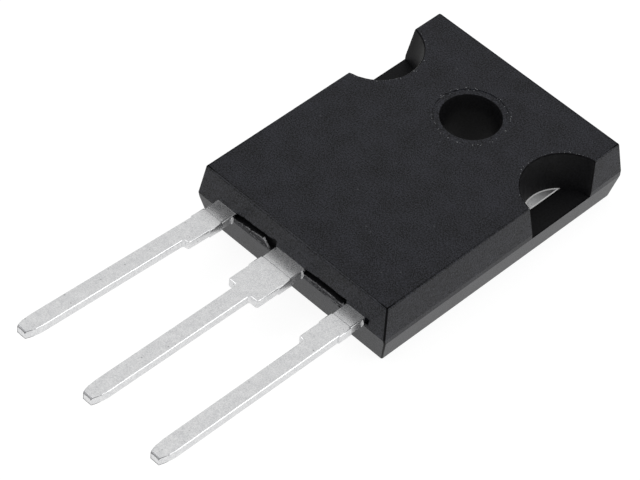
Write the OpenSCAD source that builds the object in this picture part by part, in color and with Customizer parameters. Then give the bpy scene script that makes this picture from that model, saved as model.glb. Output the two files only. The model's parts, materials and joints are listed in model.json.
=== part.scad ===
// Power transistor: a chip on a bare metal heat sink, with three leads, moulded in black resin.
// The origin is on the axis of the mounting hole, in the plane of the back.
// The leads run towards -Y, and +Z points out of the front face.

/* [Moulding] */
// Width across the parting land
body_w = 15.62; // [15:0.1:17]
// Length along the leads' direction, at the parting land
body_l = 20.48; // [20:0.1:24]
// Thickness from the back to the front face
body_h = 4.68; // [4.6:0.05:5.5]
// From the axis of the mounting hole to the far end
hole_to_end = 5.38; // [4.8:0.1:6.5]
// Draft: how far the front face is drawn in on every side
front_inset = 0.29; // [0.1:0.01:0.4]
// Draft: how far the back is drawn in at the sides
back_inset = 0.48; // [0.1:0.01:0.6]
// Draft: how far the back is drawn in at the lead end
lead_end_inset = 0.54; // [0.1:0.01:0.6]
// Draft: how far the back is drawn in at the far end
far_end_inset = 0.24; // [0.1:0.01:0.6]
// How far below the leads the parting land starts at the lead end
land_drop = 0.03; // [0.02:0.01:0.3]
// Rounding along the edges of the front face
edge_r = 0.12; // [0.05:0.01:0.25]

/* [Mounting hole] */
// Diameter of the straight bore
hole_d = 3.58; // [3.2:0.02:3.8]
// Diameter of the drafted mouth, at the front face
mouth_d = 3.88; // [3.84:0.02:4.2]
// Depth of the drafted mouth
mouth_h = 1.48; // [0.8:0.02:2]
// Diameter of the ring that the core pin leaves round the mouth
pin_mark_d = 4.68; // [4.4:0.02:5.2]
// Depth of that ring
pin_mark_h = 0.06; // [0.03:0.01:0.12]

/* [Side notches] */
// Radius of a notch at its floor
notch_r = 2.51; // [2:0.01:2.7]
// Radius of a notch at the front face
notch_top_r = 2.89; // [2.75:0.01:3.1]
// How far the notch's axis lies outside the parting land
notch_out = 0.14; // [0:0.02:0.5]

/* [Heat sink] */
// Thickness of the heat sink, which is also the height of the notch floors
tab_t = 2.04; // [1.8:0.02:2.06]
// Resin beside the heat sink, from the parting land
tab_side = 1.16; // [1:0.02:1.4]
// Resin between the heat sink and the far end
tab_end = 0.93; // [0.8:0.01:1.2]
// Resin between the heat sink and the lead end
tab_front = 3.34; // [3.2:0.02:3.6]
// Width of the coined shoulder that the resin grips
shoulder_w = 0.53; // [0.3:0.01:0.8]
// Depth of the coined shoulder
shoulder_h = 0.55; // [0.3:0.05:0.9]
// Diameter of the resin collar that insulates the mounting hole
collar_d = 6.73; // [6:0.01:7.2]
// Rounding at the corners of the heat sink
tab_corner = 0.60; // [0.3:0.05:1]

/* [Leads] */
// From the middle of one lead's end to the next
pitch = 5.56; // [5.4:0.01:5.7]
// Thickness of the leads
lead_t = 0.59; // [0.5:0.01:0.7]
// Height of the leads' underside above the back
lead_z = 2.41; // [2.4:0.01:2.6]
// Free length, from the lead end of the moulding
lead_l = 15.70; // [12:0.1:20]
// Width of the slim part of each lead
lead_w = 1.15; // [1:0.01:1.2]
// Width of an outer lead's root
outer_root_w = 1.53; // [1.5:0.01:1.8]
// Width of the middle lead's root
middle_root_w = 2.44; // [2.2:0.01:2.8]
// From the moulding to the shoulders of the leads
root_l = 3.77; // [3.4:0.01:4.4]
// Rounding of a shoulder's outer corner
shoulder_r = 0.15; // [0.05:0.01:0.17]
// Length of the curved taper at the end
taper_l = 1.30; // [1:0.02:2]
// Width of the blunt tip
tip_w = 0.68; // [0.5:0.02:0.9]
// Rounding of the tip's upright corners
tip_r = 0.05; // [0.02:0.01:0.08]
// Rounding of the tip's upper edge, where the punch came down
tip_roll = 0.12; // [0.05:0.01:0.2]
// From the moulding to the stub of the trimmed dam bar
bar_gap = 1.05; // [0.8:0.01:1.3]
// Width of the dam bar
bar_w = 1.03; // [0.8:0.01:1.4]
// How far the trimmed dam bar stands out of a lead's side
bar_stub = 0.07; // [0.03:0.01:0.12]
// Upward lean of the gate lead, in degrees, from handling
gate_lean = 3.70; // [0:0.05:4]
// Upward lean of the middle lead, in degrees
middle_lean = 0.75; // [0:0.05:4]
// Upward lean of the source lead, in degrees
source_lean = 0.45; // [0:0.05:4]

/* [Resin between the leads] */
// How far the broken web stands out between the leads
web_out = 0.08; // [0.04:0.01:0.15]
// Height of the broken web
web_h = 0.36; // [0.3:0.01:0.5]
// Height of the torn groove above the web
groove_h = 0.42; // [0.2:0.01:0.5]
// Depth of the torn groove
groove_in = 0.30; // [0.15:0.01:0.4]
// Width of the pocket that the web leaves beside the next lead
pocket_w = 0.50; // [0.2:0.05:0.8]
// Height of the web that is left in that pocket
pocket_z = 0.12; // [0.05:0.01:0.2]

/* [Inside] */
// Length of the bond posts along the leads
post_l = 1.80; // [1.6:0.05:2]
// Gap between the heat sink and the bond posts
post_gap = 0.50; // [0.4:0.02:0.6]
// Width of the gate's bond post
gate_post_w = 3.00; // [2.4:0.1:4]
// Width of the source's bond post
source_post_w = 4.20; // [3.8:0.1:4.4]
// Rounding of the posts' corners
post_r = 0.20; // [0.1:0.05:0.3]
// Flat run of the middle lead before it bends up
joggle_run = 0.40; // [0.35:0.05:0.5]
// Inner radius of the middle lead's bends
bend_r = 0.20; // [0.1:0.05:0.3]
// Width of the chip
die_w = 6.40; // [5.4:0.1:7]
// Bare heat sink left before and behind the solder
die_margin = 0.80; // [0.5:0.05:1.2]
// Thickness of the chip
die_t = 0.25; // [0.15:0.01:0.35]
// Thickness of the solder under the chip
solder_t = 0.06; // [0.04:0.01:0.1]
// Solder that shows round the chip
solder_rim = 0.20; // [0.1:0.05:0.4]
// Diameter of the source wires
source_wire_d = 0.50; // [0.3:0.05:0.5]
// Diameter of the gate wire
gate_wire_d = 0.20; // [0.15:0.01:0.3]
// Distance between the source wires on the chip
wire_step = 1.30; // [1.1:0.05:1.4]
// Arc that each wire loop turns through, in degrees
wire_sweep = 90; // [80:5:100]

/* [Hidden] */
$fn = 64;

reach = 60;                              // longer than the part, for cuts
half_w = body_w / 2;
y_end = hole_to_end;
y_front = hole_to_end - body_l;
y_tip = y_front - lead_l;
lead_top = lead_z + lead_t;

tab_half = half_w - tab_side;
tab_y1 = y_end - tab_end;
tab_y0 = y_front + tab_front;

outer_x = pitch + lead_w / 2;            // outer edge of an outer lead
slim_x = pitch - lead_w / 2;             // inner edge of its slim part
root_x = outer_x - outer_root_w;         // inner edge of its root
post_y1 = tab_y0 - post_gap;
post_y0 = post_y1 - post_l;

join = 0.5;                              // how far the middle lead runs into the heat sink
front_land_z = lead_z - land_drop;

die_y = (tab_y0 - collar_d / 2) / 2;     // midway between the collar and the heat sink's end
die_l = -collar_d / 2 - tab_y0 - 2 * (die_margin + solder_rim);
die_z = tab_t + solder_t;
die_top = die_z + die_t;

foot_l = 2.6;                            // a bond foot's sides, as shares of the wire's diameter
foot_w = 1.3;
foot_h = 0.6;
wire_seat = 0.4;                         // height of the wire's middle over a bond, as such a share
bond_margin = 1.0;                       // from the chip's edge to the nearest foot's middle
post_margin = 0.90;                      // from a post's outer edge to the outermost foot's middle
taper_steps = 8;                         // straight pieces that make up the curve of a taper

leads_color = "#c6c7c8";
resin_color = "#2a2b2e";

function unit(v) = v / norm(v);

function mirrored(pts) = [for (i = [len(pts) - 1 : -1 : 0]) [-pts[i][0], pts[i][1], pts[i][2]]];

// The arc that rounds the corner p between its neighbours a and b
function corner_arc(a, p, b, r, steps) =
    let (u = unit(a - p), v = unit(b - p),
         half = acos(u * v) / 2,
         c = p + unit(u + v) * r / sin(half),
         s = p + u * r / tan(half) - c,
         e = p + v * r / tan(half) - c,
         a0 = atan2(s[1], s[0]),
         turn = atan2(e[1], e[0]) - a0,
         sweep = turn > 180 ? turn - 360 : turn < -180 ? turn + 360 : turn)
    [for (i = [0 : steps]) c + r * [cos(a0 + sweep * i / steps), sin(a0 + sweep * i / steps)]];

// A closed outline of [x, y, rounding] points, with its corners rounded
function rounded(pts, steps = 4) =
    let (n = len(pts), xy = [for (p = pts) [p[0], p[1]]])
    [for (i = [0 : n - 1]) each
        pts[i][2] > 0 ? corner_arc(xy[(i + n - 1) % n], xy[i], xy[(i + 1) % n], pts[i][2], steps) : [xy[i]]];

// Extrudes an outline drawn in Y and Z across the part
module across(pts) {
    translate([-reach / 2, 0, 0]) rotate([90, 0, 90]) linear_extrude(reach) polygon(pts);
}

// Extrudes an outline drawn in X and Z along the part
module along(pts) {
    translate([0, reach / 2, 0]) rotate([90, 0, 0]) linear_extrude(reach) polygon(pts);
}

// The block that the two mould halves leave, drafted both ways from the parting land
module drafted_block() {
    right = [[half_w - back_inset, 0, 0], [half_w, tab_t, 0], [half_w, lead_z, 0],
             [half_w - front_inset, body_h, edge_r]];
    intersection() {
        along(rounded(concat(right, mirrored(right))));
        across(rounded([[y_end - far_end_inset, 0, 0], [y_end, tab_t, 0], [y_end, lead_z, 0],
                        [y_end - front_inset, body_h, edge_r], [y_front + front_inset, body_h, edge_r],
                        [y_front, lead_z, 0], [y_front, front_land_z, 0],
                        [y_front + lead_end_inset, 0, 0]]));
    }
}

module mounting_bore() {
    cone_run = mouth_h + 1;
    cone_grow = (mouth_d - hole_d) / 2 * cone_run / mouth_h;
    translate([0, 0, -1]) cylinder(h = body_h + 2, d = hole_d);
    translate([0, 0, body_h - mouth_h])
        cylinder(h = cone_run, r1 = hole_d / 2, r2 = hole_d / 2 + cone_grow);
    translate([0, 0, body_h - pin_mark_h]) cylinder(h = 1, d = pin_mark_d);
}

module side_notch() {
    depth = body_h - tab_t;
    translate([half_w + notch_out, 0, tab_t])
        cylinder(h = depth + 1, r1 = notch_r, r2 = notch_r + (notch_top_r - notch_r) * (depth + 1) / depth);
}

// Both spaces between the leads' roots, from y0 to y1 and z0 to z1. With a width, only that much
// of each is filled, next to the lead on its +X side.
module between_leads(y0, y1, z0, z1, width = 0) {
    gap = root_x - middle_root_w / 2;
    w = width > 0 ? width : gap;
    for (x = [-middle_root_w / 2, root_x])
        translate([x - w, y0, z0]) cube([w, y1 - y0, z1 - z0]);
}

module mould_body() {
    web_top = lead_z + web_h;
    groove_top = web_top + groove_h;
    color(resin_color) difference() {
        union() {
            drafted_block();
            between_leads(y_front - web_out, y_front + groove_in, lead_z, web_top);
        }
        between_leads(y_front - 1, y_front + groove_in, web_top, groove_top);
        between_leads(y_front - 1, y_front + groove_in, lead_z + pocket_z, groove_top, pocket_w);
        mounting_bore();
        side_notch();
        mirror([1, 0, 0]) side_notch();
        heat_sink_frame();
        gate_lead();
        source_lead();
        die_solder();
        silicon_die();
        gate_wire();
        for (i = [0 : 2]) source_wire(i);
    }
}

// Half of a heat sink outline, drawn in by inset at its sides and far end
function tab_half_outline(inset) =
    [[tab_half - inset, tab_y0, tab_corner / 2], [tab_half - inset, tab_y1 - inset, tab_corner]];

module tab() {
    difference() {
        union() {
            linear_extrude(tab_t - shoulder_h)
                polygon(rounded(concat(tab_half_outline(0), mirrored(tab_half_outline(0)))));
            linear_extrude(tab_t)
                polygon(rounded(concat(tab_half_outline(shoulder_w), mirrored(tab_half_outline(shoulder_w)))));
        }
        translate([0, 0, -1]) cylinder(h = tab_t + 2, d = collar_d);
    }
}

// The edge of a lead's root, with the stub of the dam bar, from the moulding outwards.
// The edge lies at x, and out is 1 where metal ends towards +X and -1 where it ends towards -X.
function stub_edge(x, out) =
    let (y0 = y_front - bar_gap, y1 = y0 - bar_w, s = x + out * bar_stub)
    [[x, y0, 0], [s, y0, 0], [s, y1, 0], [x, y1, 0]];

// A lead's shoulder, from its root edge to its slim edge
function shoulder_edge(root, slim) =
    [[root, y_front - root_l, shoulder_r], [slim, y_front - root_l, shoulder_r]];

// Half the lead's width at a distance along its taper: an arc that starts along the slim edge
function taper_half(run) =
    let (drop = (lead_w - tip_w) / 2, r = (taper_l * taper_l + drop * drop) / (2 * drop))
    lead_w / 2 - r + sqrt(r * r - run * run);

// The curved taper on one side of the lead whose middle is at x, down to the tip
function taper_edge(x, side) =
    [for (i = [0 : taper_steps]) let (run = taper_l * i / taper_steps)
        [x + side * taper_half(run), y_tip + taper_l - run, i == taper_steps ? tip_r : 0]];

function reversed(pts) = [for (i = [len(pts) - 1 : -1 : 0]) pts[i]];

// The whole end of a lead, from its +X side round to its -X side
function tip_edge(x) = concat(taper_edge(x, 1), reversed(taper_edge(x, -1)));

// The plan of the source lead and its bond post. The gate lead is its mirror image.
function outer_outline(post_w) = rounded(concat(
    [[outer_x, post_y1, post_r]],
    stub_edge(outer_x, 1),
    tip_edge(pitch),
    reversed(shoulder_edge(root_x, slim_x)),
    reversed(stub_edge(root_x, -1)),
    [[root_x, post_y0, post_r], [outer_x - post_w, post_y0, post_r], [outer_x - post_w, post_y1, post_r]]));

// The plan of the middle lead, up to the heat sink that it is one piece with
function middle_outline() =
    let (w = middle_root_w / 2, right = concat(stub_edge(w, 1), shoulder_edge(w, lead_w / 2)))
    rounded(concat([[w, tab_y0 + join, 0]], right, tip_edge(0), mirrored(right), [[-w, tab_y0 + join, 0]]));

// The side view of a lead outside the moulding, leaning up by lean degrees
function free_side(lean) =
    let (rise = lead_l * tan(lean))
    [[y_front + lead_t * tan(lean / 2), lead_top, 0], [y_tip, lead_top + rise, tip_roll],
     [y_tip, lead_z + rise, 0], [y_front, lead_z, 0]];

module outer_lead(post_w, lean) {
    inner = post_y1 + join;
    intersection() {
        linear_extrude(body_h) polygon(outer_outline(post_w));
        across(rounded(concat([[inner, lead_z, 0], [inner, lead_top, 0]], free_side(lean))));
    }
}

module gate_lead() {
    color(leads_color) mirror([1, 0, 0]) outer_lead(gate_post_w, gate_lean);
}

module source_lead() {
    color(leads_color) outer_lead(source_post_w, source_lean);
}

// The middle lead leaves the heat sink's upper edge and bends up to the leads' level
module middle_lead() {
    low = tab_t - lead_t;
    y1 = tab_y0 - joggle_run;
    y2 = y1 - (lead_z - low);
    k = lead_t * tan(22.5);
    outer_r = bend_r + lead_t;
    intersection() {
        linear_extrude(body_h) polygon(middle_outline());
        across(rounded(concat(
            [[y2, lead_z, bend_r], [y1, low, outer_r], [tab_y0 + join, low, 0], [tab_y0 + join, tab_t, 0],
             [y1 + k, tab_t, bend_r], [y2 + k, lead_top, outer_r]],
            free_side(middle_lean))));
    }
}

module heat_sink_frame() {
    color(leads_color) union() {
        tab();
        middle_lead();
    }
}

module die_solder() {
    w = die_w + 2 * solder_rim;
    l = die_l + 2 * solder_rim;
    color("#a4a8ab") translate([-w / 2, die_y - l / 2, tab_t]) cube([w, l, solder_t]);
}

module silicon_die() {
    color("#5d6168") translate([-die_w / 2, die_y - die_l / 2, die_z]) cube([die_w, die_l, die_t]);
}

// A wire loop between the middles of its two feet, a on the chip and b on a post
module bond_wire(a, b, d) {
    span = b - a;
    run = norm([span[0], span[1]]);
    chord = norm(span);
    half = wire_sweep / 2;
    r = chord / 2 / sin(half);
    color("#d3d5d7") translate(a) rotate([0, 0, atan2(span[1], span[0])]) {
        translate([0, 0, wire_seat * d]) rotate([90, 0, 0]) rotate([0, 0, atan2(span[2], run)])
            translate([chord / 2, -r * cos(half), 0]) rotate([0, 0, 90 - half])
                rotate_extrude(angle = wire_sweep) translate([r, 0]) circle(d = d);
        for (foot = [[0, 0, 0], [run, 0, span[2]]])
            translate(foot + [-foot_l * d / 2, -foot_w * d / 2, 0]) cube([foot_l, foot_w, foot_h] * d);
    }
}

module gate_wire() {
    bond_wire([-die_w / 2 + bond_margin, die_y - die_l / 2 + bond_margin, die_top],
              [-outer_x + gate_post_w / 2, post_y0 + post_l / 2, lead_top], gate_wire_d);
}

// The source wires fan out from the chip to the post, and i counts from the gate's side
module source_wire(i) {
    bond_wire([-die_w / 2 + bond_margin + wire_step * (i + 1), die_y, die_top],
              [outer_x - post_margin - wire_step * (2 - i), post_y0 + post_l / 2, lead_top], source_wire_d);
}

mould_body();
heat_sink_frame();
gate_lead();
source_lead();
die_solder();
silicon_die();
gate_wire();
source_wire(0);  // source_wire_1
source_wire(1);  // source_wire_2
source_wire(2);  // source_wire_3
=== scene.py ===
import json
import math

import bmesh
import bpy
from mathutils import Matrix, Vector, noise

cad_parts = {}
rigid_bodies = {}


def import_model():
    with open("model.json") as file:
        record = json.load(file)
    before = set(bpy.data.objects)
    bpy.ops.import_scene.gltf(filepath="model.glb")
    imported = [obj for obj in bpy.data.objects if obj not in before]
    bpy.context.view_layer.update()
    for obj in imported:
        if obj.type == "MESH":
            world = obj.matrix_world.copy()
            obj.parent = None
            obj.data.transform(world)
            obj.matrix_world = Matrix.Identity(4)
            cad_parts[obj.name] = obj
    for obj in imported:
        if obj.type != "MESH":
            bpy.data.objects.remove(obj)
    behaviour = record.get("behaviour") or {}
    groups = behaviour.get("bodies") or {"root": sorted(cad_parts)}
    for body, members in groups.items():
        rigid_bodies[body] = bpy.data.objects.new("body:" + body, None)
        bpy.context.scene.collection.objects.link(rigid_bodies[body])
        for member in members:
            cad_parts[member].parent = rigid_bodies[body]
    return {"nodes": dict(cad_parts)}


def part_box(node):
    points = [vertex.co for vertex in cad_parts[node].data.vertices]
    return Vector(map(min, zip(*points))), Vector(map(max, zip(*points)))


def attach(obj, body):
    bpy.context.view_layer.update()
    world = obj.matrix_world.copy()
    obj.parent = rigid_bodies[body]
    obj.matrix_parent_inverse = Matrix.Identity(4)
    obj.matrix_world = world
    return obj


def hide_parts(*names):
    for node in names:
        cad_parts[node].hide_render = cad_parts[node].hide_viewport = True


# A power transistor lying on its heat sink: black moulded body and three tinned leads.
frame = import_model()
nodes = frame["nodes"]
mm = 0.001

for thing in list(bpy.data.objects):  # a fresh file's own cube, lamp and camera
    if thing.name not in nodes and not thing.name.startswith("body:"):
        bpy.data.objects.remove(thing)
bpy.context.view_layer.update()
print("frame loaded:", len(nodes), "nodes")

# Places that the details share, read off the nodes
webOut = 0.08 * mm                                # the torn web stands this far out of the lead end
leadThick = 0.59 * mm
snapMm = 0.01                                     # a point this near a level or a line lies on it
snap = snapMm * mm
facing, leaning = 0.9, 0.5                        # how much of an axis a normal has that looks along it
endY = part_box("mould_body")[0].y + webOut         # lead end of the body
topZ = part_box("mould_body")[1].z
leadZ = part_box("source_lead")[0].z                # underside of the leads
leadTop = leadZ + leadThick
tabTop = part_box("die_solder")[0].z                # front of the heat sink, floor of the notches
tabEdge = max(v.co.x for v in nodes["heat_sink_frame"].data.vertices if abs(v.co.z - tabTop) < snap)


def linear(hexColour):
    parts = [int(hexColour[i:i + 2], 16) / 255 for i in (1, 3, 5)]
    return [c / 12.92 if c <= 0.04045 else ((c + 0.055) / 1.055) ** 2.4 for c in parts] + [1]


def setSockets(tree, node, values):
    for name, value in values.items():
        if isinstance(value, bpy.types.NodeSocket):
            tree.links.new(value, node.inputs[name])
        else:
            node.inputs[name].default_value = value


def addNode(tree, kind, inputs=None, **settings):
    node = tree.nodes.new("ShaderNode" + kind)
    for name, value in settings.items():
        setattr(node, name, value)
    setSockets(tree, node, inputs or {})
    return node


def calc(tree, operation, *values):
    return addNode(tree, "Math", dict(enumerate(values)), operation=operation).outputs[0]


def blend(tree, share, below, above):
    return addNode(tree, "Mix", {0: share, 6: below, 7: above}, data_type="RGBA").outputs[2]


def grainAt(tree, inMm, sizeMm, detail, roughness=0.5):
    return addNode(tree, "TexNoise", {"Vector": inMm, "Scale": 1 / sizeMm, "Detail": detail,
                                      "Roughness": roughness}).outputs["Fac"]


def ramp(tree, value, low, high, start=0, end=1):
    return addNode(tree, "MapRange", {"Value": value, "From Min": low, "From Max": high,
                                      "To Min": start, "To Max": end}).outputs[0]


def spots(tree, inMm, sizeMm, coreToRim, rarity):  # round spots, in the few cells above the rarity
    cell = addNode(tree, "TexVoronoi", {"Vector": inMm, "Scale": 1 / sizeMm})
    spot = ramp(tree, cell.outputs["Distance"], *coreToRim, 1, 0)
    split = addNode(tree, "SeparateColor", {0: cell.outputs["Color"]})
    return calc(tree, "MULTIPLY", spot, calc(tree, "GREATER_THAN", split.outputs[0], rarity))


def ringMark(tree, sideways, along, radiusMm, wideMm):
    flat = addNode(tree, "CombineXYZ", {"X": sideways, "Y": along})
    radius = addNode(tree, "VectorMath", {0: flat.outputs[0]}, operation="LENGTH")
    return calc(tree, "COMPARE", radius.outputs["Value"], radiusMm, wideMm)


def newMaterial(name):  # a bare tree, its shader and the object coordinates in millimetres
    material = bpy.data.materials.new(name)
    material.use_nodes = True
    tree = material.node_tree
    tree.nodes.clear()
    shader = addNode(tree, "BsdfPrincipled")
    addNode(tree, "OutputMaterial", {"Surface": shader.outputs["BSDF"]})
    place = addNode(tree, "TexCoord")
    inMm = addNode(tree, "VectorMath", {0: place.outputs["Object"], "Scale": 1000}, operation="SCALE")
    return material, tree, shader, inMm.outputs["Vector"]


# Epoxy moulding compound, pressed in a spark-eroded steel mould: dull charcoal with a faint blue
# cast, an even grit, and pale silica filler that shows as rare specks and along worn rims.
# The real grit is finer than 0.05 mm. It is drawn coarser, so that it still shows at arm's length.
epoxy = {
    "colour": "#030304", "paler": "#292a31", "speck": "#3e3f42", "rimSpeck": "#9a9b9d",
    "blotchMm": 1.6, "blotchShare": 0.35, "gritMm": 0.085, "gritDepth": 0.024, "shades": (0.50, 0.85),
    "speckMm": 0.24, "speckRarity": 0.99, "rimSpeckMm": 0.11, "rimSpeckRarity": 0.68,
    "coreToRim": (0.12, 0.3), "roughness": 0.31, "roughnessSpread": 0.06,
    "level": 0.19, "levelSpread": 0.13, "ior": 1.55,
    "holeRingMm": 2.37, "notchRingMm": 3.01, "notchAxisMm": 7.95, "rimWide": 0.11, "rimDeepMm": 0.1,
}


def makeEpoxy():
    material, tree, shader, inMm = newMaterial("mouldedEpoxy")
    blotch = grainAt(tree, inMm, epoxy["blotchMm"], 4, 0.6)
    grit = grainAt(tree, inMm, epoxy["gritMm"], 1, 0.6)
    both = calc(tree, "MULTIPLY_ADD", blotch, epoxy["blotchShare"], grit)
    shade = ramp(tree, both, *epoxy["shades"])
    ground = blend(tree, shade, linear(epoxy["colour"]), linear(epoxy["paler"]))
    # rims where the moulding is worn pale: round the hole and along the notches
    axes = addNode(tree, "SeparateXYZ", {0: inMm}).outputs
    fromNotch = calc(tree, "SUBTRACT", calc(tree, "ABSOLUTE", axes["X"]), epoxy["notchAxisMm"])
    holeRing = ringMark(tree, axes["X"], axes["Y"], epoxy["holeRingMm"], epoxy["rimWide"])
    notchRing = ringMark(tree, fromNotch, axes["Y"], epoxy["notchRingMm"], epoxy["rimWide"])
    atTop = calc(tree, "GREATER_THAN", axes["Z"], topZ / mm - epoxy["rimDeepMm"])
    rim = calc(tree, "MULTIPLY", calc(tree, "MAXIMUM", holeRing, notchRing), atTop)
    speck = spots(tree, inMm, epoxy["speckMm"], epoxy["coreToRim"], epoxy["speckRarity"])
    rimSpeck = spots(tree, inMm, epoxy["rimSpeckMm"], epoxy["coreToRim"], epoxy["rimSpeckRarity"])
    flecked = blend(tree, speck, ground, linear(epoxy["speck"]))
    colour = blend(tree, calc(tree, "MULTIPLY", rimSpeck, rim), flecked, linear(epoxy["rimSpeck"]))
    dull, shine = (ramp(tree, grit, 0, 1, epoxy[name] - epoxy[name + "Spread"],
                        epoxy[name] + epoxy[name + "Spread"]) for name in ("roughness", "level"))
    bump = addNode(tree, "Bump", {"Height": grit, "Strength": 0.5, "Distance": epoxy["gritDepth"] * mm})
    setSockets(tree, shader, {"Base Color": colour, "Roughness": dull, "Normal": bump.outputs[0],
                              "Specular IOR Level": shine, "IOR": epoxy["ior"]})
    return material


# Where the same resin isn't a pressed face: the block's corners and rims, painted blacker and less glossy as
# shade along the edges;
# the coarse grain of the broken web; the flash along it; the walls that loose pins and inserts left, and the
# groove, rougher and painted darker as shade in these recesses; and the web's thin broken ends, painted pale as
# a highlight of light through the flash.
resinLooks = {
    "paintedEdgeShade": {"colour": "#030304", "paler": "#0c0c0e", "grainMm": 0.2, "roughness": 0.3, "level": 0.05},
    "brokenResin": {"colour": "#151517", "paler": "#4a4a4d", "grainMm": 0.1, "roughness": 0.6, "level": 0.25},
    "resinFlash": {"colour": "#1a1a1c", "paler": "#848486", "grainMm": 0.13, "roughness": 0.4, "level": 0.3},
    # painted shade: the recess walls and the groove get darker, duller resin
    "paintedRecessShade": {"colour": "#050506", "paler": "#121214", "grainMm": 0.12, "roughness": 0.55, "level": 0.12},
    # painted highlight: the web's thin broken ends are pale, as if lit through
    "paintedHighlightFlash": {"colour": "#808082", "paler": "#dcdcde", "grainMm": 0.1, "roughness": 0.4, "level": 0.5},
}
bodySkins = ["mouldedEpoxy", *resinLooks]
resinGrain = {"shades": (0.35, 0.65), "strength": 0.4, "deepMm": 0.01}


def makeResin(name):
    look = resinLooks[name]
    material, tree, shader, inMm = newMaterial(name)
    grain = grainAt(tree, inMm, look["grainMm"], 2)
    shade = ramp(tree, grain, *resinGrain["shades"])
    colour = blend(tree, shade, linear(look["colour"]), linear(look["paler"]))
    bump = addNode(tree, "Bump", {"Height": grain, "Strength": resinGrain["strength"],
                                  "Distance": resinGrain["deepMm"] * mm})
    setSockets(tree, shader, {"Base Color": colour, "Normal": bump.outputs[0], "IOR": epoxy["ior"],
                              "Roughness": look["roughness"], "Specular IOR Level": look["level"]})
    return material


# Matte tin, electroplated on copper: a pale, slightly clouded grey metal with fine grain,
# faint handling marks and a witness line where the mould's dam pressed on the leads.
# Real tin grains are a few thousandths of a millimetre wide. They are drawn coarser, as a soft mottle.
tin = {
    "colour": "#ffffff", "darker": "#d8d9db", "pit": "#8d8e90", "pitShare": 0.6,
    "cloudMm": 0.5, "cloudShare": 0.4, "grainMm": 0.09, "grainDepth": 0.006, "shades": (0.42, 0.98),
    "pitMm": 0.35, "pitCoreToRim": (0.08, 0.2), "pitRarity": 0.8, "smoother": 0.06, "rougher": 0.08,
    "witnessMm": 1.05, "witnessWide": 0.035,
    # the bare heat sink, darkened towards the rear, and two pale lines painted on it as highlights: round the
    # foot of the notch wall and along the rolled edge
    "rearDim": "#3a3a3c", "dimFromMm": -0.9, "dimToMm": 1.2, "highlightRingMm": 2.49, "highlightRingWide": 0.05, "highlightEdgeWide": 0.09,
}
# plated faces; the frosted skin in the notches, which scatters light as paint does; burnished rolled
# edges; burrs torn off dull
tinLooks = {
    "matteTinPlate": {"roughness": 0.26, "metallic": 1.0, "grain": 0.6, "rearDim": 0},
    "frostedTin": {"roughness": 0.5, "metallic": 0.25, "grain": 0.6, "rearDim": 0.9},
    "burnishedTin": {"roughness": 0.3, "metallic": 1.0, "grain": 0.05, "rearDim": 0},
    "tornTin": {"roughness": 0.45, "metallic": 0.0, "grain": 0.3, "rearDim": 0},
}
tinSkins = [*tinLooks, "smearedTin"]


def makeTin(name):
    look = tinLooks[name]
    material, tree, shader, inMm = newMaterial(name)
    cloud = grainAt(tree, inMm, tin["cloudMm"], 3, 0.55)
    grain = grainAt(tree, inMm, tin["grainMm"], 2, 0.6)
    shade = ramp(tree, calc(tree, "MULTIPLY_ADD", cloud, tin["cloudShare"], grain), *tin["shades"])
    ground = blend(tree, shade, linear(tin["darker"]), linear(tin["colour"]))
    pit = spots(tree, inMm, tin["pitMm"], tin["pitCoreToRim"], tin["pitRarity"])
    axes = addNode(tree, "SeparateXYZ", {0: inMm}).outputs
    fromBody = calc(tree, "SUBTRACT", endY / mm, axes["Y"])
    line = calc(tree, "COMPARE", fromBody, tin["witnessMm"], tin["witnessWide"] / 2)
    marks = calc(tree, "MAXIMUM", pit, line)
    colour = blend(tree, calc(tree, "MULTIPLY", marks, tin["pitShare"]), ground, linear(tin["pit"]))
    # frosted tin: darker towards the rear, with painted highlight lines round the notch wall's foot and along
    # the rolled edge
    if look["rearDim"]:
        dimShare = ramp(tree, axes["Y"], tin["dimFromMm"], tin["dimToMm"], 0, look["rearDim"])
        dimmed = blend(tree, dimShare, colour, linear(tin["rearDim"]))
        outward = calc(tree, "ABSOLUTE", axes["X"])
        fromNotch = calc(tree, "SUBTRACT", outward, epoxy["notchAxisMm"])
        highlightRing = ringMark(tree, fromNotch, axes["Y"], tin["highlightRingMm"], tin["highlightRingWide"])
        edge = calc(tree, "COMPARE", outward, tabEdge / mm, tin["highlightEdgeWide"])  # the rolled edge: a painted highlight line
        colour = blend(tree, calc(tree, "MAXIMUM", highlightRing, edge), dimmed, linear(tin["colour"]))
    dull = ramp(tree, cloud, 0, 1, look["roughness"] - tin["smoother"], look["roughness"] + tin["rougher"])
    height = calc(tree, "SUBTRACT", grain, marks)
    bump = addNode(tree, "Bump", {"Height": height, "Strength": look["grain"],
                                  "Distance": tin["grainDepth"] * mm})
    setSockets(tree, shader, {"Base Color": colour, "Roughness": dull, "Normal": bump.outputs[0],
                              "Metallic": look["metallic"]})
    return material


# Plain metals: the sealed inside, which is soft solder with a frosted skin, a chip with a sputtered
# top and drawn aluminium wire, and the smeared tin that the cropping tool left round the leads' ends.
# The wire's draw marks and the solder's frost are drawn coarser than they are.
plainLooks = {
    "smearedTin": {"colour": "#9c9c9f", "roughness": 0.4, "grainMm": 0.09, "metallic": 1.0},
    "softSolder": {"colour": "#9a9da0", "roughness": 0.5, "grainMm": 0.09, "metallic": 1.0},
    "metallisedSilicon": {"colour": "#5b6068", "roughness": 0.22, "grainMm": 0.6, "metallic": 0.6},
    "drawnAluminiumWire": {"colour": "#d0d2d4", "roughness": 0.3, "grainMm": 0.05, "metallic": 1.0},
}
plainGrain = {"darker": 0.8, "strength": 0.3, "deepMm": 0.004}


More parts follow.
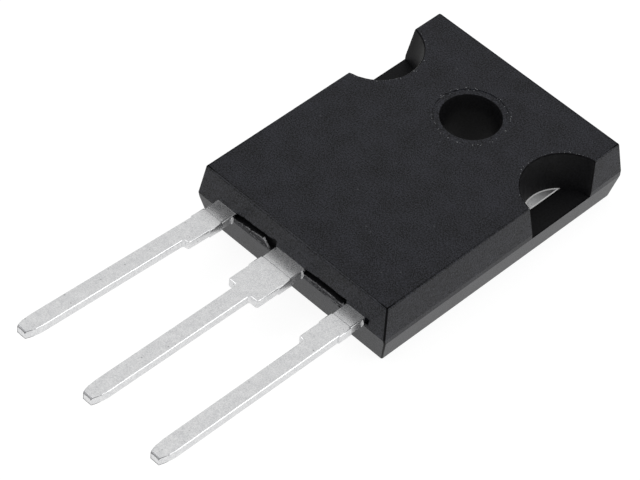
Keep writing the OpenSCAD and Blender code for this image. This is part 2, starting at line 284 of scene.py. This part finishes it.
def makePlain(name):
    look = plainLooks[name]
    material, tree, shader, inMm = newMaterial(name)
    grain = grainAt(tree, inMm, look["grainMm"], 2)
    paler = linear(look["colour"])
    shade = blend(tree, grain, paler, [c * plainGrain["darker"] for c in paler[:3]] + [1])
    bump = addNode(tree, "Bump", {"Height": grain, "Strength": plainGrain["strength"],
                                  "Distance": plainGrain["deepMm"] * mm})
    setSockets(tree, shader, {"Base Color": shade, "Normal": bump.outputs[0],
                              "Roughness": look["roughness"], "Metallic": look["metallic"]})
    return material


bodyMaterials = [makeEpoxy()] + [makeResin(name) for name in resinLooks]
tinMaterials = [makeTin(name) for name in tinLooks] + [makePlain("smearedTin")]
print("materials made")

weld = {"cadMm": 0.002, "flatTurn": 0.4, "bevelMm": 0.0005, "cutMm": 0.0001}  # how near points are joined


def setMaterials(piece, materials):
    piece.data.materials.clear()
    for material in materials:
        piece.data.materials.append(material)


def copyNode(nodeName, pieceName, materials):  # a clean, welded copy of a node's mesh, open in edit mode
    piece = bpy.data.objects.new(pieceName, nodes[nodeName].data.copy())
    setMaterials(piece, materials)
    bpy.context.scene.collection.objects.link(piece)
    bpy.ops.object.select_all(action="DESELECT")
    piece.select_set(True)
    bpy.context.view_layer.objects.active = piece
    bpy.ops.mesh.customdata_custom_splitnormals_clear()
    bpy.ops.object.mode_set(mode="EDIT")
    bpy.ops.mesh.select_mode(type="EDGE")
    bpy.ops.mesh.select_all(action="SELECT")
    bpy.ops.mesh.remove_doubles(threshold=weld["cadMm"] * mm)
    bpy.ops.mesh.dissolve_limited(angle_limit=math.radians(weld["flatTurn"]))
    bpy.ops.mesh.select_all(action="DESELECT")
    return piece


def pick(piece, kind, test):  # selects the edges or faces that pass and no others, and counts them
    bpy.ops.mesh.select_all(action="DESELECT")
    shape = bmesh.from_edit_mesh(piece.data)
    hits = [item for item in getattr(shape, kind) if test(item)]
    for item in hits:
        item.select_set(True)
    bmesh.update_edit_mesh(piece.data)
    return len(hits)


def pickFaces(piece, test):
    return pick(piece, "faces", test)


def pickEdges(piece, test):
    return pick(piece, "edges", lambda edge: len(edge.link_faces) == 2 and test(edge))


def cutFaces(piece, test, place, direction):
    pickFaces(piece, test)
    bpy.ops.mesh.bisect(plane_co=place, plane_no=direction, threshold=weld["cutMm"] * mm)


def roundPicked(offsetMm, segments, skin=-1, slide=True):
    bpy.ops.mesh.bevel(offset=offsetMm * mm, segments=segments, affect="EDGES", clamp_overlap=False,
                       loop_slide=slide, material=skin)


def paintFaces(piece, skinOf):  # skinOf names no number for a face that stays as it is
    shape = bmesh.from_edit_mesh(piece.data)
    for face in shape.faces:
        skin = skinOf(face)
        if skin is not None:
            face.material_index = skin
    bmesh.update_edit_mesh(piece.data)


def movePoints(piece, placeOf):  # placeOf names no place for a point that stays where it is
    shape = bmesh.from_edit_mesh(piece.data)
    for vertex in shape.verts:
        place = placeOf(vertex)
        if place is not None:
            vertex.co = place
    bmesh.update_edit_mesh(piece.data)


def middleOf(edge):
    return (edge.verts[0].co + edge.verts[1].co) / 2


def turnsBy(edge, degrees):  # an outward edge, at least this sharp
    return edge.calc_face_angle_signed(0) >= math.radians(degrees)


def smoothFlat(piece, degrees):  # soft roundings between faces that stay flat
    bpy.ops.mesh.select_all(action="SELECT")  # points that the bevels left on one spot
    bpy.ops.mesh.remove_doubles(threshold=weld["bevelMm"] * mm)
    bpy.ops.mesh.dissolve_degenerate(threshold=weld["bevelMm"] * mm)
    bpy.ops.object.mode_set(mode="OBJECT")
    bpy.ops.object.shade_smooth_by_angle(angle=math.radians(degrees), keep_sharp_edges=True)
    weigh = piece.modifiers.new("flatFaces", "WEIGHTED_NORMAL")
    weigh.keep_sharp = True
    weigh.weight = 100
    bpy.ops.object.modifier_apply(modifier=weigh.name)


# The moulded body: corners and rims rounded, and the web between the leads broken off
mould = {
    "cornerMm": 0.09, "rimMm": 0.065, "holeRimMm": 0.0325, "footMm": 0.05,
    "cornerTurn": 25, "rimTurn": 35, "smoothTurn": 24,  # edges sharper than these degrees
    # nicks along the top rims: how far apart and deep, how often per mm and in what share
    "nickStepMm": 0.2, "nickMm": 0.06, "nickGrains": ((4.1, 1), (11, 0.6)), "nickBand": 0.8,
    "nickTopMm": 0.003,
    # the small relief beside the source lead: across from and to, height from and to
    "reliefMm": (6.15, 6.47, 0.20, 0.66), "reliefDeepMm": 0.22,
    # an edge beyond these places is on the block's outside, and a rim within the last is the hole's
    "sideMm": 7.2, "rearMm": 5.0, "frontMm": -14.4, "rimSideMm": 5.3, "rimFrontMm": -14, "holeMm": 3,
    # the torn web and the lips round the leads, which stay sharp: half width, depth, height, lowest
    "lipZoneMm": (6.6, 0.4, 0.6, 1),
    "footZoneMm": 0.02, "rimZoneMm": 0.1,  # how far from the foot or the top an edge is still on it
    "stepMm": 0.03, "lineMm": 0.004,  # the parting land's height, and how near its edges lie
    "frontDraft": 0.02,  # the lead end leans up by more than this above the parting land
    # rough walls, painted darker as shade, of the notch: nearest, half length, farthest, lowest, under the top
    # and of the hole: radius, lowest, under the top
    "notchWallMm": (4.9, 2.95, 7.75, 0.4, 0.02), "holeWallMm": (2.0, 0.05, 0.09),
}
tear = {
    "gapsMm": ((-4.605, -1.22), (1.22, 4.605)), "stepMm": 0.085, "cutsMm": (0.07, 0.11, 0.25, 0.31),
    "webMm": 0.36, "grooveMm": 0.7, "depthsMm": (-0.1, 0.32), "heightsMm": (-0.02, 0.8),
    "faceCutMm": -0.02, "endCutMm": 0.10, "webSlackMm": 0.04, "webFrontMm": -0.05,
    "recessMm": 0.07, "upperRecess": 0.6, "lipBackMm": 0.015, "leastFootMm": 0.01, "leastBreakMm": 0.1,
    "ledgeMm": 0.02, "underLipMm": (0.06, 0.03),  # the flash over the foot, and the flash under the lip
    "endMm": 0.50, "leanFromMm": 1.1, "endShiftMm": (0.04, 0.42), "endLean": (0.9, 0.5),
    "coarse": (2.4, 0.09), "fine": (7.3, 0.06), "flake": (6.7, 9, 0.03),  # how often per mm, and how far
    "lipJag": 0.55, "footJag": 1.8, "roofJag": 0.5, "roofSlant": 0.128, "roofFrontMm": 0.2,
    # heights over the leads' underside, evenly along each gap: the break's foot, its lip, the groove's roof
    "foot": ((0.16, 0.28, 0.22, 0.08, 0.02, 0.00), (0.20, 0.14, 0.04, 0.02, 0.10, 0.10)),
    "lip": ((0.25, 0.36, 0.46, 0.53, 0.58, 0.56), (0.28, 0.36, 0.39, 0.41, 0.36, 0.28)),
    "roof": ((0.66, 0.80, 0.82, 0.84, 0.88, 1.00), (0.62, 0.72, 0.76, 0.78, 0.76, 0.82)),
}


def cornerEdge(edge):  # the four upright corners of the block, up over the rounded rim
    middle = middleOf(edge) / mm
    sideways = [abs(face.normal.x) > abs(face.normal.y) for face in edge.link_faces]
    atEnd = middle.y > mould["rearMm"] or middle.y < mould["frontMm"]
    atCorner = abs(middle.x) > mould["sideMm"] and atEnd
    return atCorner and sideways[0] != sideways[1] and turnsBy(edge, mould["cornerTurn"])


def footEdge(edge):  # the edge that the block stands on
    middle = middleOf(edge) / mm
    onBlock = (abs(middle.x) > mould["sideMm"] or middle.y > mould["rearMm"]
               or middle.y < mould["frontMm"])
    return onBlock and middle.z < mould["footZoneMm"] and turnsBy(edge, mould["rimTurn"])


def outerEdge(edge):
    if not turnsBy(edge, mould["rimTurn"]):
        return False
    middle = middleOf(edge)
    halfWide, deep, high, lowest = (part * mm for part in mould["lipZoneMm"])
    if (middle.y < endY + deep and abs(middle.x) < halfWide and middle.z < leadTop + high
            and min(v.co.z for v in edge.verts) > lowest):
        return False
    onBlock = (abs(middle.x) > mould["rimSideMm"] * mm or middle.y > mould["rearMm"] * mm
               or middle.y < mould["rimFrontMm"] * mm)
    zone = mould["rimZoneMm"] * mm
    return (onBlock and middle.z > zone) or middle.z > topZ - zone


def holeRim(edge):
    return edge.verts[0].co.xy.length < mould["holeMm"] * mm and outerEdge(edge)


def blockRim(edge):
    return edge.verts[0].co.xy.length >= mould["holeMm"] * mm and outerEdge(edge)


def longRim(edge):
    atTop = min(v.co.z for v in edge.verts) > topZ - snap
    return atTop and edge.calc_length() > mould["nickStepMm"] * mm and outerEdge(edge)


def worn(vertex):  # the middle of each top rim is worn in small nicks
    lowest = topZ - mould["nickBand"] * mould["rimMm"] * mm
    if not lowest < vertex.co.z < topZ - mould["nickTopMm"] * mm:
        return None
    depth = sum(share * noise.noise(vertex.co / mm * often) for often, share in mould["nickGrains"])
    return vertex.co - vertex.normal * max(0, depth) * mould["nickMm"] * mm


def onPartingLine(edge):
    levels = (leadZ, leadZ - mould["stepMm"] * mm, tabTop)
    return any(all(abs(v.co.z - level) < mould["lineMm"] * mm for v in edge.verts) for level in levels)


def tearHeight(name, side, share):
    heights = tear[name][side]
    place = min(max(share, 0), 1) * (len(heights) - 1)
    i = min(int(place), len(heights) - 2)
    return heights[i] + (heights[i + 1] - heights[i]) * (place - i)


def inTear(co, gap):
    nearest, deepest = tear["depthsMm"]
    lowest, highest = tear["heightsMm"]
    return (gap[0] - snapMm < co.x / mm < gap[1] + snapMm and nearest < (co.y - endY) / mm < deepest
            and lowest < (co.z - leadZ) / mm < highest)


def tearPlace(co, gap, side):  # where a point of the clean-cut web and groove lies on the broken one
    x, y, z = co.x / mm, (co.y - endY) / mm, (co.z - leadZ) / mm
    share = (x - gap[0]) / (gap[1] - gap[0])
    (coarse, far), (fine, near), (across, upward, thick) = tear["coarse"], tear["fine"], tear["flake"]
    jag = (far * noise.noise(Vector((x * coarse, 3 + side, 0)))
           + near * noise.noise(Vector((x * fine, side, 5))))
    flake = thick * noise.noise(Vector((x * across, z * upward, 9 + side)))
    lip = tearHeight("lip", side, share) + tear["lipJag"] * jag
    foot = min(tearHeight("foot", side, share) + tear["footJag"] * jag, lip - tear["leastBreakMm"])
    foot = max(foot, tear["leastFootMm"])
    if z > tear["grooveMm"]:
        roof = tearHeight("roof", side, share) + tear["roofJag"] * jag
        slant = tear["roofSlant"] * (roof - z) if y < tear["roofFrontMm"] else 0
        return Vector((x, y + slant, roof))
    if x > gap[1] - tear["endMm"] + snapMm:
        return Vector((x, y, z))
    levels = (0, *tear["cutsMm"], tear["webMm"])
    heights = (0, foot, foot + tear["ledgeMm"], *(lip - under for under in tear["underLipMm"]), lip)
    level = min(range(len(levels)), key=lambda i: abs(levels[i] - z))
    if y < tear["webFrontMm"]:
        y += (0, 0, tear["recessMm"] + flake, tear["recessMm"] * tear["upperRecess"] + flake, 0,
              tear["lipBackMm"])[level]
    z = heights[level]
    # the broken end leans away from the next lead
    nearEnd = max(0, (x - gap[1] + tear["endMm"]) / tear["leanFromMm"] + 1)
    return Vector((x + nearEnd * (tear["endShiftMm"][side] - tear["endLean"][side] * z), y, z))


def tearSkin(face):  # pressed foot, broken middle, flash at both rims, groove painted dark as shade, thin broken end painted pale as a highlight
    middle = face.calc_center_median()
    height, depth = (middle.z - leadZ) / mm, (middle.y - endY) / mm
    pressed, flashFoot, _, broken = tear["cutsMm"]
    atEnd = face.normal.x > leaning
    if height > tear["webMm"] + tear["webSlackMm"] or depth > tear["faceCutMm"]:
        return "paintedHighlightFlash" if atEnd and height < tear["webMm"] and depth < tear["endCutMm"] else "paintedRecessShade"
    if atEnd:
        return "paintedHighlightFlash"
    if face.normal.z > leaning:
        return "resinFlash"
    if height < pressed:
        return "mouldedEpoxy"
    return "brokenResin" if flashFoot <= height < broken else "resinFlash"


def breakWeb(side, gap):  # the clean-cut web and groove, cut into strips and moved to the broken shape
    def torn(face):
        return all(inTear(v.co, gap) for v in face.verts)

    def tornEnd(face):
        return face.normal.x > leaning and torn(face)

    def skinOf(face):
        return bodySkins.index(tearSkin(face)) if torn(face) else None

    def placeOf(vertex):
        if not inTear(vertex.co, gap):
            return None
        x, y, z = tearPlace(vertex.co, gap, side)
        return Vector((x * mm, endY + y * mm, leadZ + z * mm))

    steps = int((gap[1] - gap[0]) / tear["stepMm"])
    for i in range(1, steps):
        cutFaces(body, torn, ((gap[0] + (gap[1] - gap[0]) * i / steps) * mm, 0, 0), (1, 0, 0))
    for height in tear["cutsMm"]:
        cutFaces(body, torn, (0, 0, leadZ + height * mm), (0, 0, 1))
    cutFaces(body, torn, (0, endY + tear["faceCutMm"] * mm, 0), (0, 1, 0))
    cutFaces(body, tornEnd, (0, endY + tear["endCutMm"] * mm, 0), (0, 1, 0))
    paintFaces(body, skinOf)
    movePoints(body, placeOf)


def roughShadedWall(face):  # walls that the mould's loose pins and inserts made are rougher, and painted darker as shade in these recesses
    middle = face.calc_center_median() / mm
    inner, halfLong, outer, low, under = mould["notchWallMm"]
    radius, holeLow, holeUnder = mould["holeWallMm"]
    inNotch = (inner < abs(middle.x) < outer and abs(middle.y) < halfLong
               and low < middle.z < topZ / mm - under)
    inHole = Vector((middle.x, middle.y)).length < radius and holeLow < middle.z < topZ / mm - holeUnder
    return bodySkins.index("paintedRecessShade") if inNotch or inHole else None


def onFront(face):
    return (face.normal.y < -facing and face.normal.z > mould["frontDraft"]
            and face.calc_center_median().y < mould["rimFrontMm"] * mm)


def inStrip(face):
    left, right = mould["reliefMm"][:2]
    return onFront(face) and all(left - snapMm < v.co.x / mm < right + snapMm for v in face.verts)


def inRelief(face):
    low, high = mould["reliefMm"][2:]
    return inStrip(face) and all(low - snapMm < (v.co.z - leadZ) / mm < high + snapMm for v in face.verts)


body = copyNode("mould_body", "mouldedBody", bodyMaterials)
# the small relief in the front face beside the source lead
for across in mould["reliefMm"][:2]:
    cutFaces(body, onFront, (across * mm, 0, 0), (1, 0, 0))
for height in mould["reliefMm"][2:]:
    cutFaces(body, inStrip, (0, 0, leadZ + height * mm), (0, 0, 1))
print("relief faces:", pickFaces(body, inRelief))
bpy.ops.mesh.extrude_region_move(TRANSFORM_OT_translate={"value": (0, mould["reliefDeepMm"] * mm, 0)})
bpy.ops.mesh.select_all(action="DESELECT")
for side, gap in enumerate(tear["gapsMm"]):
    breakWeb(side, gap)
# the notch and hole walls get the darker resin: painted shade
paintFaces(body, roughShadedWall)

# the corners, the foot and the top rims take the darker edge resin: painted shade along the edges
skin = bodySkins.index("paintedEdgeShade")
print("corner edges:", pickEdges(body, cornerEdge))
roundPicked(mould["cornerMm"], 2, skin)
print("foot edges:", pickEdges(body, footEdge))
roundPicked(mould["footMm"], 2, skin, slide=False)
while pickEdges(body, longRim):  # straight rims get points to be nicked at
    bpy.ops.mesh.subdivide(number_cuts=1)
print("hole rim edges:", pickEdges(body, holeRim))
roundPicked(mould["holeRimMm"], 2, slide=False)
print("rim edges:", pickEdges(body, blockRim))
roundPicked(mould["rimMm"], 2, skin, slide=False)
movePoints(body, worn)
shape = bmesh.from_edit_mesh(body.data)
for edge in shape.edges:
    if onPartingLine(edge):
        edge.smooth = False
bmesh.update_edit_mesh(body.data)
smoothFlat(body, mould["smoothTurn"])
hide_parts("mould_body")
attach(body, "root")
print("moulded body:", len(body.data.polygons), "faces")

# Heat sink and leads: rolled upper edges from the punch, and a torn burr on each root
lead = {
    "topRollMm": 0.10, "underMm": 0.015, "tipMm": -30.2, "shearMm": 0.03,
    "lipTurn": 50, "tipTurn": 12, "smoothTurn": 35, "squareMm": 0.02, "tipZoneMm": -28, "inBodyMm": 0.3,
    "bareFromMm": 5, "bareHalfMm": 3,  # the heat sink lies bare in the notches, this far out and along
    "burrMm": 0.045, "burrTaper": 0.9,
}
burrs = {  # (across, along, height over the leads' underside, width) down each curl
    "gateLead": ((-4.63, -15.33, 0.56, 0.10), (-4.57, -15.34, 0.42, 0.13), (-4.53, -15.36, 0.24, 0.12),
                 (-4.57, -15.38, 0.04, 0.07)),
    "heatSinkFrame": ((1.20, -15.25, 0.56, 0.09), (1.25, -15.22, 0.40, 0.08), (1.27, -15.20, 0.22, 0.07),
                      (1.23, -15.27, 0.02, 0.05)),
    "sourceLead": ((6.12, -15.24, 0.50, 0.10), (6.16, -15.23, 0.38, 0.14), (6.18, -15.23, 0.20, 0.15),
                   (6.14, -15.25, 0.02, 0.08)),
}


def upperLip(edge):  # the punched side's rolled edge, outside the moulding
    if not turnsBy(edge, lead["lipTurn"]):
        return False
    middle = middleOf(edge)
    rises = [face.normal.z for face in edge.link_faces]
    onLead = lead["tipMm"] * mm < middle.y < endY + lead["inBodyMm"] * mm
    lengthwise = (abs(edge.verts[0].co.y - edge.verts[1].co.y) > lead["squareMm"] * mm
                  or middle.y > lead["tipZoneMm"] * mm)
    return onLead and lengthwise and max(rises) > facing and min(rises) < leaning


def lowerLip(edge):  # the underside's edge, nearly sharp
    rises = [face.normal.z for face in edge.link_faces]
    onLead = middleOf(edge).y < endY + lead["inBodyMm"] * mm
    return onLead and min(rises) < -facing and max(rises) > -leaning and turnsBy(edge, lead["lipTurn"])


def tipEdge(edge):  # round the cropped end
    return max(v.co.y for v in edge.verts) < lead["tipMm"] * mm and turnsBy(edge, lead["tipTurn"])


def onTab(face):
    return all(abs(v.co.z - tabTop) < snap for v in face.verts)


def bareTab(face):
    middle = face.calc_center_median()
    bare = (abs(middle.z - tabTop) < snap / 2 and abs(middle.x) > lead["bareFromMm"] * mm
            and abs(middle.y) < lead["bareHalfMm"] * mm)
    return tinSkins.index("frostedTin") if bare else None


def burrSkin(face):
    return tinSkins.index("tornTin") if face.select else None


def addBurr(piece, curl):
    bpy.ops.mesh.select_mode(type="FACE")
    x, y, height, wide = curl[0]
    bpy.ops.mesh.primitive_cube_add(size=lead["burrMm"] * mm, location=(x * mm, y * mm, leadZ + height * mm),
                                    scale=(1, wide / lead["burrMm"], 1))
    shape = bmesh.from_edit_mesh(piece.data)
    for face in shape.faces:
        face.select_set(face.select and face.normal.z < -facing)
    bmesh.update_edit_mesh(piece.data)
    for (x, y, height, wide), (nextX, nextY, nextHeight, nextWide) in zip(curl, curl[1:]):
        step = ((nextX - x) * mm, (nextY - y) * mm, (nextHeight - height) * mm)
        bpy.ops.mesh.extrude_region_move(TRANSFORM_OT_translate={"value": step})
        bpy.ops.transform.resize(value=(lead["burrTaper"], nextWide / wide, 1))
    bpy.ops.mesh.select_linked()
    paintFaces(piece, burrSkin)
    bpy.ops.mesh.select_mode(type="EDGE")


for nodeName, pieceName in (("heat_sink_frame", "heatSinkFrame"), ("gate_lead", "gateLead"),
                            ("source_lead", "sourceLead")):
    piece = copyNode(nodeName, pieceName, tinMaterials)
    for sign in (1, -1):
        cutFaces(piece, onTab, (sign * lead["bareFromMm"] * mm, 0, 0), (1, 0, 0))
    for sign in (1, -1):
        cutFaces(piece, onTab, (0, sign * lead["bareHalfMm"] * mm, 0), (0, 1, 0))
    upper = pickEdges(piece, upperLip)
    roundPicked(lead["topRollMm"], 3, tinSkins.index("burnishedTin"))
    lower = pickEdges(piece, lowerLip)
    roundPicked(lead["underMm"], 1)
    cropped = pickEdges(piece, tipEdge)
    roundPicked(lead["shearMm"], 1, tinSkins.index("smearedTin"))
    bpy.ops.mesh.select_all(action="DESELECT")
    paintFaces(piece, bareTab)
    addBurr(piece, burrs[pieceName])
    smoothFlat(piece, lead["smoothTurn"])
    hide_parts(nodeName)
    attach(piece, "root")
    print(pieceName, upper, lower, cropped, "edges rounded,", len(piece.data.polygons), "faces")

# Sealed pieces keep their solids
sealed = {"softSolder": ["die_solder"], "metallisedSilicon": ["silicon_die"],
          "drawnAluminiumWire": ["gate_wire", "source_wire_1", "source_wire_2", "source_wire_3"]}
for look, nodeNames in sealed.items():
    material = makePlain(look)
    for nodeName in nodeNames:
        setMaterials(nodes[nodeName], [material])
print("sealed pieces dressed")

# Floor, light and camera
studio = {
    "floor": "#f2f2f2", "floorGlow": 0.70, "floorExtra": 0.19, "floorShade": 0.20, "worldLight": 0.72,
    "floorSize": 4, "floorGapMm": 0.01,  # a hair under the part, so that its back doesn't flicker
    "keyWatt": 0.30, "keySize": 0.30, "keyPlace": (-0.22, -0.10, 0.42),
    "rimWatt": 0.32, "rimSize": 0.20, "rimPlace": (0.33, 0.22, 0.20),
    "lightsAim": (0, -0.008, 0.002),
}
bpy.ops.object.select_all(action="DESELECT")
bpy.ops.mesh.primitive_plane_add(size=studio["floorSize"], location=(0, 0, -studio["floorGapMm"] * mm))
floor = bpy.context.object
floor.name = "floor"
floorMaterial = bpy.data.materials.new("paleFloor")
floorMaterial.use_nodes = True
tree = floorMaterial.node_tree
tree.nodes.clear()
# white to the camera and in reflections, with a trace of shadow
lit = addNode(tree, "BsdfDiffuse", {"Color": linear(studio["floor"])})
ray = addNode(tree, "LightPath").outputs
strength = calc(tree, "MULTIPLY_ADD", ray["Is Camera Ray"], studio["floorExtra"], studio["floorGlow"])
glow = addNode(tree, "Emission", {"Color": (1, 1, 1, 1), "Strength": strength})
shade = addNode(tree, "BsdfDiffuse", {"Color": (studio["floorShade"],) * 3 + (1,)})
seen = addNode(tree, "AddShader", {0: glow.outputs[0], 1: shade.outputs[0]})
direct = calc(tree, "MAXIMUM", ray["Is Camera Ray"], ray["Is Glossy Ray"])
mixed = addNode(tree, "MixShader", {0: direct, 1: lit.outputs[0], 2: seen.outputs[0]})
addNode(tree, "OutputMaterial", {"Surface": mixed.outputs[0]})
setMaterials(floor, [floorMaterial])

world = bpy.data.worlds.new("softRoom")
bpy.context.scene.world = world
world.use_nodes = True
room = world.node_tree.nodes["Background"].inputs
room["Color"].default_value = (1, 1, 1, 1)
room["Strength"].default_value = studio["worldLight"]


def softbox(name):
    data = bpy.data.lights.new(name + "Softbox", "AREA")
    data.energy = studio[name + "Watt"]
    data.size = studio[name + "Size"]
    lamp = bpy.data.objects.new(name + "Softbox", data)
    bpy.context.scene.collection.objects.link(lamp)
    lamp.location = studio[name + "Place"]
    aim = Vector(studio["lightsAim"]) - lamp.location
    lamp.rotation_euler = aim.to_track_quat("-Z", "Y").to_euler()


softbox("key")
softbox("rim")

# The camera stands where the photograph's edges put it
view = {"azimuth": 41.6153, "elevation": 47.6133, "roll": 5.2346, "focusPx": 3096.8422,
        "rightPx": 143.6431, "upPx": 70.2271, "distanceMm": 189.684, "widthPx": 640, "sensorMm": 36,
        "clipFrom": 0.01, "clipTo": 10}
turn, rise, roll = (math.radians(view[k]) for k in ("azimuth", "elevation", "roll"))
back = Vector((math.sin(turn) * math.cos(rise), -math.cos(turn) * math.cos(rise), math.sin(rise)))
level = Vector((math.cos(turn), math.sin(turn), 0))
up = back.cross(level)
across = level * math.cos(roll) + up * math.sin(roll)
upward = up * math.cos(roll) - level * math.sin(roll)
perPx = view["distanceMm"] * mm / view["focusPx"]
place = back * view["distanceMm"] * mm - across * view["rightPx"] * perPx - upward * view["upPx"] * perPx
cameraData = bpy.data.cameras.new("camera")
cameraData.sensor_width = view["sensorMm"]
cameraData.lens = view["focusPx"] / view["widthPx"] * view["sensorMm"]
cameraData.clip_start = view["clipFrom"]
cameraData.clip_end = view["clipTo"]
camera = bpy.data.objects.new("camera", cameraData)
bpy.context.scene.collection.objects.link(camera)
turned = Matrix((across, upward, back)).transposed().to_4x4()
camera.matrix_world = Matrix.Translation(place) @ turned
bpy.context.scene.camera = camera
bpy.context.scene.view_settings.view_transform = "Standard"
print("stage, light and camera set")
